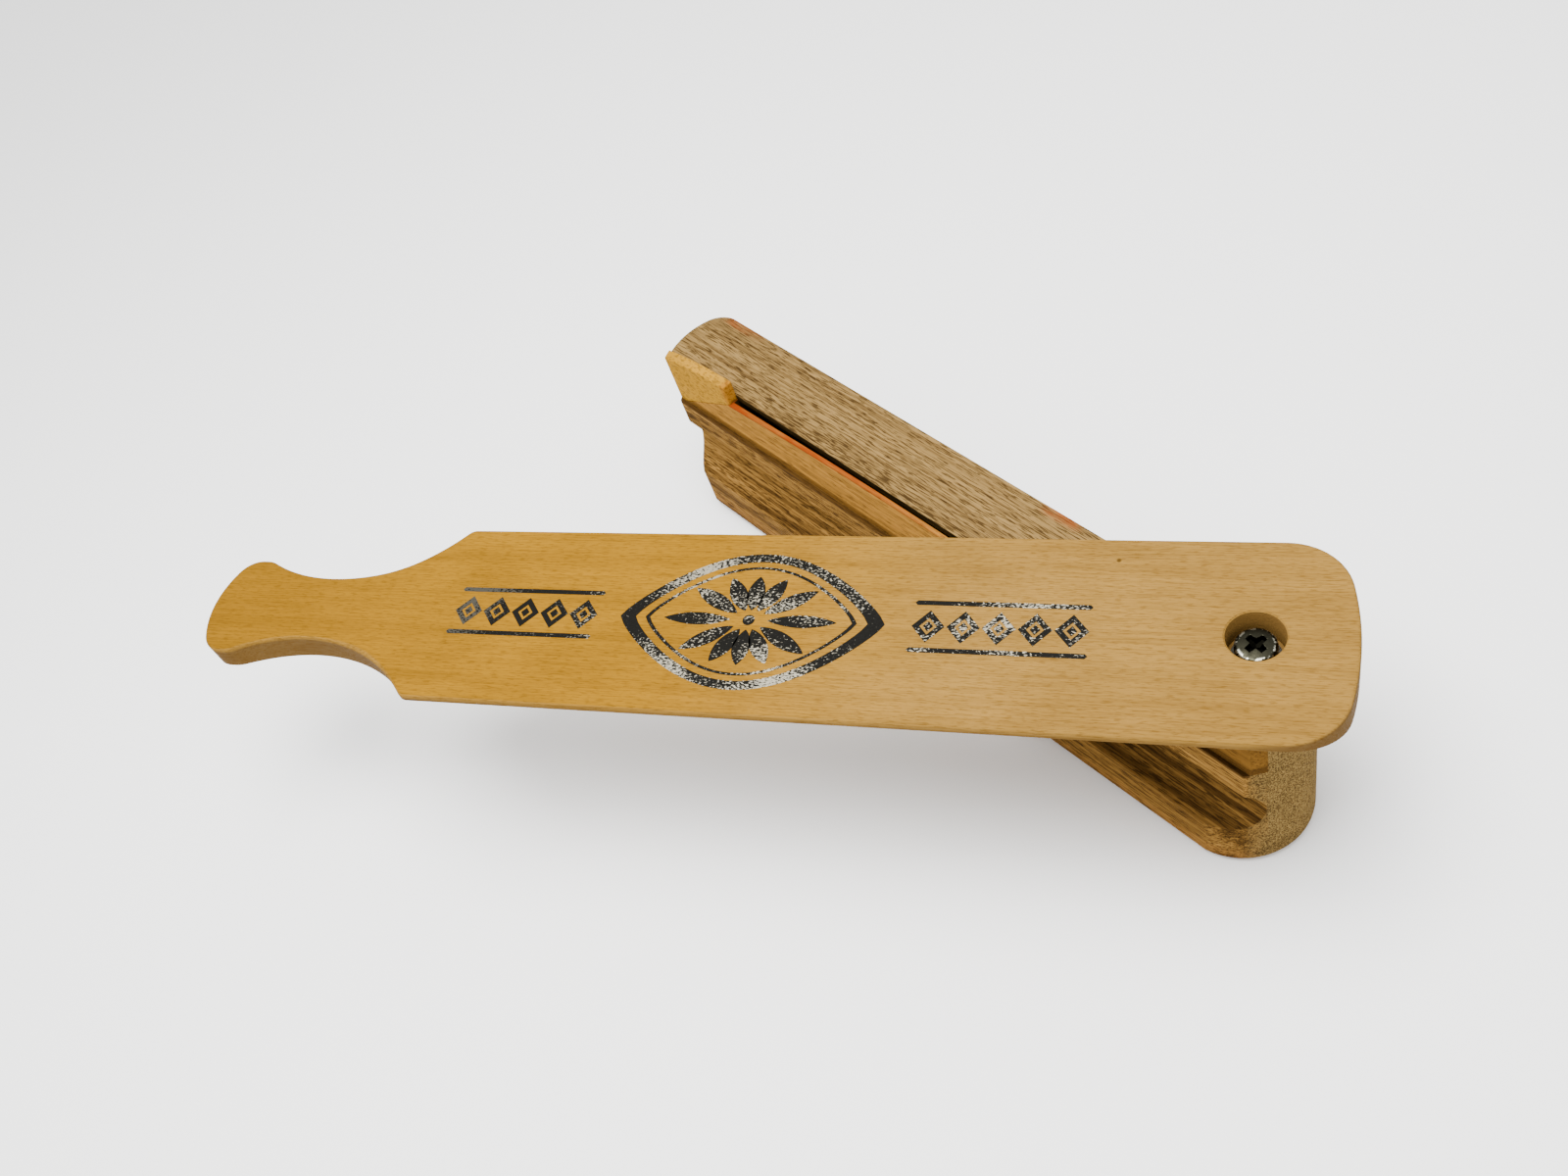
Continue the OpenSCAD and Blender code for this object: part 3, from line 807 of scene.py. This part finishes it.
def walnut(block):
    """Open-pored wood: stripes and long pores along the block, paler, dotted end grain, and painted shade in
    the cove and the sound chamber.
    """
    wood = Finish("walnut", block.flank)
    along, across, height = wood.axes
    wood.lay(block.rail, wood.band(height, *RAIL_TOP_Z))
    stripe = wood.noise((5, 260, 300), 4, 0.7, 0.5)
    strong = wood.band(height, *RAIL_TOP_Z, 0.85, 0.3)
    wood.lay(block.dark, wood.band(stripe, 0.44, 0.66), strong)
    level = wood.maths("ADD", height, wood.times(wood.noise((9, 60, 60), 2), 0.012))
    # Painted shade in the cove, strongest under the lid towards the pivot end
    cove_shade = wood.times(wood.between(level, *COVE_SHADE_Z), wood.band(across, *COVE_SHADE_Y), 0.32)
    wood.lay(block.dark, cove_shade, wood.band(along, *COVE_SHADE_X, 0.35, 1))
    wood.lay(block.red, wood.band(level, *FOOT_Z, 0, 0.3))
    fine = wood.noise((24, 1700, 1700), 3, 0.65)
    wood.lay(block.dark, wood.band(fine, 0.42, 0.64, 0, 0.55))
    end = wood.facing("X")
    wood.lay(block.grain_end, end, 0.85)
    speckle = wood.band(wood.noise((2100, 2100, 2100), 2, 0.6), 0.46, 0.56, 0, 0.6)
    wood.lay(block.dark, end, speckle)
    cluster = wood.times(wood.noise((12, 130, 130), 2), 0.2)
    pores = wood.band(wood.maths("ADD", wood.noise((230, 3300, 3300), 2, 0.5), cluster), 0.61, 0.7)
    wood.lay(block.pore, pores, 0.8)
    # A dark line along the block just under the sound board's lower edge
    wood.lay(block.dark, wood.between(height, *BOARD_EDGE_LINE_Z), wood.band(across, *BOARD_EDGE_LINE_Y), 0.85)
    wood.lay(block.chalk, chalk_marks(wood))
    # Painted shade on the chamber's walls
    wood.lay(block.chamber_shade, painted_chamber_shade(wood))
    wood.set(Roughness=wood.band(fine, 0.3, 0.7, 0.5, 0.66))
    wood.set(Specular_IOR_Level=0.002, Specular_Tint=block.rail)
    wood.bump(wood.maths("SUBTRACT", wood.times(fine, 0.4), pores), 0.4, 0.25 * MM)
    return wood.material


def painted_chamber_shade(wood):
    """Painted shade: one on the sound chamber's walls, a little less on the slot's over them, and nought
    outside.
    """
    x, y, z = wood.axes
    plate = wood.band(z, *PLATE_TOP_Z, 0, 0.8)
    below = wood.band(z, *PLATE_FOOT_Z, 0, 0.2)
    high = wood.times(wood.band(z, *CHAMBER_FLOOR_Z), wood.maths("ADD", plate, below))
    return wood.times(wood.between(x, *CHAMBER_X), high, wood.between(y, *CHAMBER_Y))


def chalk_marks(wood):
    """Chalk rubbed off on the rail's far edge, near the free end and again near the pivot."""
    x, y, z = wood.axes
    edge = wood.times(wood.band(y, *RAIL_CHALK_Y), wood.band(z, *RAIL_CHALK_Z))
    ends = wood.maths("ADD", wood.between(x, *FREE_CHALK_X), wood.between(x, *PIVOT_CHALK_X))
    rubbed = wood.band(wood.noise((70, 400, 400), 2), 0.35, 0.6, 0.2, 0.75)
    return wood.times(ends, edge, rubbed)


def board_wood(block):
    """Smooth golden wood with chalk on the lip that sounds, and painted shade towards the pivot end and
    inside the slot.
    """
    wood = Finish("board_wood", block.board)
    along, across, height = wood.axes
    stripe = wood.noise((4, 300, 300), 4, 0.65, 0.5)
    wood.lay(scaled(block.board, 0.35), wood.band(stripe, 0.45, 0.7, 0, 0.6))
    wood.lay(block.dark, wood.between(height, *BOARD_FOOT_Z), 0.7)
    fine = wood.noise((25, 1500, 1500), 3, 0.65)
    wood.lay(scaled(block.board, 0.35), wood.band(fine, 0.4, 0.64, 0, 0.5))
    pore = wood.band(wood.noise((260, 2600, 2600), 2, 0.5), 0.54, 0.66)
    wood.lay(block.pore, pore, 0.6)
    # Painted shade towards the pivot end, under the lid
    wood.lay(block.dark, wood.band(along, *BOARD_SHADE_X, 0, 0.6))
    off_crest = wood.maths("SUBTRACT", along, block.crest)
    fall = wood.maths("DIVIDE", wood.times(off_crest, off_crest), 2 * block.lip_arch)
    arch = wood.maths("SUBTRACT", RAIL_Z + block.lip_rise, fall)
    lip_top = wood.maths("MAXIMUM", arch, wood.band(off_crest, *LIP_STEP_X, RAIL_Z, 0))
    under_lip = wood.maths("SUBTRACT", lip_top, height)
    edge = wood.band(under_lip, *LIP_CHALK_DEPTH)
    reach = wood.times(wood.band(along, *LIP_CHALK_END_X), wood.band(along, *LIP_CHALK_X))
    rubbed = wood.band(wood.noise((60, 300, 300), 3), 0.3, 0.6, 0.55, 0.97)
    wood.lay(block.chalk, edge, reach, rubbed)
    # Painted shade on the lip's face inside the slot
    inside = wood.times(wood.band(across, *LIP_INNER_Y), wood.band(under_lip, *LIP_INNER_DEPTH))
    slot = wood.times(wood.between(along, *CHAMBER_X), 0.95)
    wood.lay(block.chamber_shade, inside, slot)
    wood.set(Roughness=wood.band(fine, 0.3, 0.7, 0.48, 0.6))
    wood.set(Specular_IOR_Level=0.002, Specular_Tint=block.board)
    wood.bump(wood.maths("SUBTRACT", wood.times(fine, 0.4), pore), 0.25, 0.2 * MM)
    return wood.material


def stop_wood(block):
    """Pale yellow wood with fine dots and a trace of chalk towards the lip."""
    wood = Finish("pale_wood", block.stop)
    cloud = wood.noise((60, 160, 160), 3)
    wood.lay(scaled(block.stop, 0.6), wood.band(cloud, 0.35, 0.7, 0, 0.3))
    dots = wood.band(wood.noise((700, 1500, 1500), 3, 0.65), 0.48, 0.62)
    wood.lay(block.dark, dots, 0.5)
    wood.lay(block.chalk, wood.band(wood.axes[0], *STOP_CHALK_X, 0, 0.35))
    wood.set(Roughness=wood.band(cloud, 0.3, 0.7, 0.5, 0.6))
    wood.set(Specular_IOR_Level=0.002, Specular_Tint=block.stop)
    wood.bump(dots, 0.2, 0.2 * MM)
    return wood.material


def stamp_foil(stamp):
    """Hot-stamped foil that crackles over the grain: black where it burned, silver where it still shines."""
    finish = Finish("stamp_foil", stamp.black, turn=LID_ANGLE)
    grain = finish.noise((1400, 2400, 2400), 2, 0.6)
    cloud = finish.noise((45, 65, 65), 2, 0.5)
    bright = finish.band(finish.maths("ADD", grain, cloud), 1.02, 1.12)
    bright = finish.times(bright, finish.band(finish.axes[0], *FOIL_X, 0.1, 1))
    finish.lay(stamp.silver, bright)
    finish.set(Metallic=bright, Roughness=finish.band(grain, 0.3, 0.7, 0.3, 0.5), Specular_IOR_Level=0.06)
    finish.bump(grain, 0.4, 0.1 * MM)
    return finish.material


def plated(name, tint, rough, wear_and_glint):
    """Plated steel with fine scratches and a little tarnish."""
    metal = Finish(name, tint)
    tarnish = metal.noise((500, 500, 500), 4, 0.6)
    scratch = metal.noise((2600, 400, 900), 3, 0.6)
    metal.lay(scaled(tint, 0.25), metal.band(tarnish, 0.4, 0.75, 0, wear_and_glint))
    metal.set(Metallic=1, Roughness=metal.band(scratch, 0.3, 0.7, rough, rough + 0.18))
    metal.bump(scratch, 0.08, 0.05 * MM)
    return metal.material


def screw_steel(metal):
    """Dark plating with painted glints in bright patches round the head's rim, and painted shade in its
    recess.
    """
    steel = Finish("screw_steel", metal.screw)
    x, y, height = steel.axes
    tarnish = steel.noise((700, 700, 700), 4, 0.6)
    steel.lay(scaled(metal.screw, 0.35), steel.band(tarnish, 0.35, 0.7, 0, 0.7))
    radius = steel.away((x, y), (0, 0))
    # Painted glints, as bright patches round the head's rim
    rim = steel.band(radius, *plus(metal.head_radius, -1.1, -0.5))
    rim = steel.times(rim, steel.band(height, *plus(metal.head, 1, 1.4)))
    wear_and_glint = steel.band(steel.noise((1100, 1100, 1100), 2), 0.5, 0.58, 0, 0.85)
    steel.lay(metal.wear_and_glint, rim, wear_and_glint)
    # Painted shade in the cross recess
    recess_shade = steel.band(height, *plus(metal.head_top, -0.25, -0.6))
    steel.lay(scaled(metal.screw, 0.05), recess_shade, steel.band(radius, *SCREW_RECESS_SHADE))
    steel.set(Metallic=1, Roughness=steel.band(tarnish, 0.3, 0.7, 0.25, 0.42))
    steel.bump(tarnish, 0.15, 0.08 * MM)
    return steel.material


def moulded(name, tint):
    """Moulded plastic, matt, with a faint speckle."""
    plastic = Finish(name, tint)
    speckle = plastic.noise((900, 900, 900), 3)
    plastic.lay(scaled(tint, 0.7), plastic.band(speckle, 0.4, 0.7, 0, 0.2))
    plastic.set(Roughness=plastic.band(speckle, 0.3, 0.7, 0.5, 0.62))
    plastic.bump(speckle, 0.1, 0.1 * MM)
    return plastic.material


def refinish(node, material):
    """Gives a CAD node its material."""
    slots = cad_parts[node].data.materials
    slots.clear()
    slots.append(material)


# Operators


class MakeLid(bpy.types.Operator):
    """Makes the lid with its handle, its arched face and its counterbore"""

    bl_idname = "box_call.lid"
    bl_label = "Make the lid"

    def execute(self, context):
        settings = context.scene.call_lid
        points, faces = lid_surface(settings)
        piece = new_piece("lid_paddle", points, faces, "paddle", lid_wood(settings))
        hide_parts("lid")
        return {"FINISHED"}


class MakeStamp(bpy.types.Operator):
    """Stamps the foil ornament on the lid"""

    bl_idname = "box_call.stamp"
    bl_label = "Stamp the lid"

    def execute(self, context):
        settings = context.scene.call_stamp
        points, faces = stamp_surface(settings, context.scene.call_lid.side)
        new_piece("lid_stamp", points, faces, "paddle", stamp_foil(settings))
        return {"FINISHED"}


class MakeBlock(bpy.types.Operator):
    """Eases the edges of the block, the sound board and the stop block, and finishes their wood"""

    bl_idname = "box_call.block"
    bl_label = "Make the block"

    def execute(self, context):
        block = context.scene.call_block
        softened("walnut_block", "body", block.softness, walnut(block))
        softened("lip_board", "sound_board", block.board_softness, board_wood(block))
        softened("stop_wedge", "stop_block", block.stop_softness, stop_wood(block))
        return {"FINISHED"}


class MakeSpring(bpy.types.Operator):
    """Winds the spring under the screw's head"""

    bl_idname = "box_call.spring"
    bl_label = "Wind the spring"

    def execute(self, context):
        metal = context.scene.call_metal
        low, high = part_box("spring")
        points, faces = coil_surface(metal, low.z + metal.wire / 2, high.z - metal.wire / 2)
        steel = plated("spring_steel", metal.steel, rough=0.18, wear_and_glint=0.25)
        piece = new_piece("coil", points, faces, "swivel", steel)
        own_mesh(piece)
        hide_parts("spring")
        return {"FINISHED"}


class MakeScrew(bpy.types.Operator):
    """Makes the screw with its crowned head and its cross recess"""

    bl_idname = "box_call.screw"
    bl_label = "Make the screw"

    def execute(self, context):
        metal = context.scene.call_metal
        points, faces = screw_surface(metal)
        piece = new_piece("cross_head_screw", points, faces, "box", screw_steel(metal))
        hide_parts("pivot_screw")
        return {"FINISHED"}


class FinishWashers(bpy.types.Operator):
    """Finishes the two washers"""

    bl_idname = "box_call.washers"
    bl_label = "Finish the washers"

    def execute(self, context):
        metal = context.scene.call_metal
        refinish("seat_washer", plated("washer_steel", metal.steel, rough=0.25, wear_and_glint=0.3))
        refinish("spacer_washer", moulded("washer_plastic", metal.plastic))
        return {"FINISHED"}


class MakeStage(bpy.types.Operator):
    """Makes the floor, the light and the camera"""

    bl_idname = "box_call.stage"
    bl_label = "Make the stage"

    def execute(self, context):
        stage = context.scene.call_stage
        self.set_camera(context, stage)
        self.lay_floor(context, stage)
        self.hang_lamp(context, stage)
        world = bpy.data.worlds.new("studio")
        world.use_nodes = True
        light = world.node_tree.nodes["Background"]
        light.inputs["Color"].default_value = (1, 1, 1, 1)
        light.inputs["Strength"].default_value = stage.sky
        context.scene.world = world
        return {"FINISHED"}

    def set_camera(self, context, stage):
        """The camera where the photographer stood."""
        camera = bpy.data.cameras.new("camera")
        camera.lens = stage.lens
        camera.sensor_width = stage.sensor
        camera.clip_start = stage.near
        seen = bpy.data.objects.new("camera", camera)
        forward = Vector(stage.forward).normalized()
        right = Vector(stage.right)
        right = (right - forward * right.dot(forward)).normalized()
        turn = Matrix((right, right.cross(forward), -forward)).transposed().to_4x4()
        seen.matrix_world = Matrix.Translation(Vector(stage.place)) @ turn
        context.scene.collection.objects.link(seen)
        context.scene.camera = seen

    def lay_floor(self, context, stage):
        """A flat square floor under the base."""
        mesh = bpy.data.meshes.new("floor")
        reach = stage.floor_reach
        corners = [(-reach, -reach, 0), (reach, -reach, 0), (reach, reach, 0), (-reach, reach, 0)]
        mesh.from_pydata(corners, [], [(0, 1, 2, 3)])
        floor = bpy.data.objects.new("floor", mesh)
        context.scene.collection.objects.link(floor)
        paper = Finish("floor_paper", stage.floor)
        paper.set(Roughness=0.9)
        mesh.materials.append(paper.material)

    def hang_lamp(self, context, stage):
        """A square lamp that points at the object."""
        lamp = bpy.data.lights.new("key", "AREA")
        lamp.shape = "SQUARE"
        lamp.size = stage.lamp_size
        lamp.energy = stage.lamp
        hung = bpy.data.objects.new("key", lamp)
        hung.location = stage.lamp_place
        aim = Vector(stage.lamp_aim) - Vector(stage.lamp_place)
        hung.rotation_euler = aim.to_track_quat("-Z", "Y").to_euler()
        context.scene.collection.objects.link(hung)


STEPS = (MakeStage, MakeLid, MakeStamp, MakeBlock, MakeScrew, MakeSpring, FinishWashers)


class BoxCallPanel(bpy.types.Panel):
    """Lists the steps that make the box call"""

    bl_idname = "VIEW3D_PT_box_call"
    bl_label = "Box call"
    bl_space_type = "VIEW_3D"
    bl_region_type = "UI"
    bl_category = "Box call"

    def draw(self, context):
        for step in STEPS:
            self.layout.operator(step.bl_idname)


SETTINGS = {
    "call_lid": LidSettings,
    "call_block": BlockSettings,
    "call_stamp": StampSettings,
    "call_metal": MetalSettings,
    "call_stage": StageSettings,
}


def register():
    """Registers the settings, the steps and the panel."""
    for kind in (*SETTINGS.values(), *STEPS, BoxCallPanel):
        bpy.utils.register_class(kind)
    for name, kind in SETTINGS.items():
        setattr(bpy.types.Scene, name, bpy.props.PointerProperty(type=kind))


def unregister():
    """Takes the settings, the steps and the panel away again."""
    for name in SETTINGS:
        delattr(bpy.types.Scene, name)
    for kind in reversed((*SETTINGS.values(), *STEPS, BoxCallPanel)):
        bpy.utils.unregister_class(kind)


def main():
    """Takes every step in turn."""
    register()
    bpy.ops.box_call.stage()
    bpy.ops.box_call.lid()
    bpy.ops.box_call.stamp()
    bpy.ops.box_call.block()
    bpy.ops.box_call.screw()
    bpy.ops.box_call.spring()
    bpy.ops.box_call.washers()


if __name__ == "__main__":
    main()
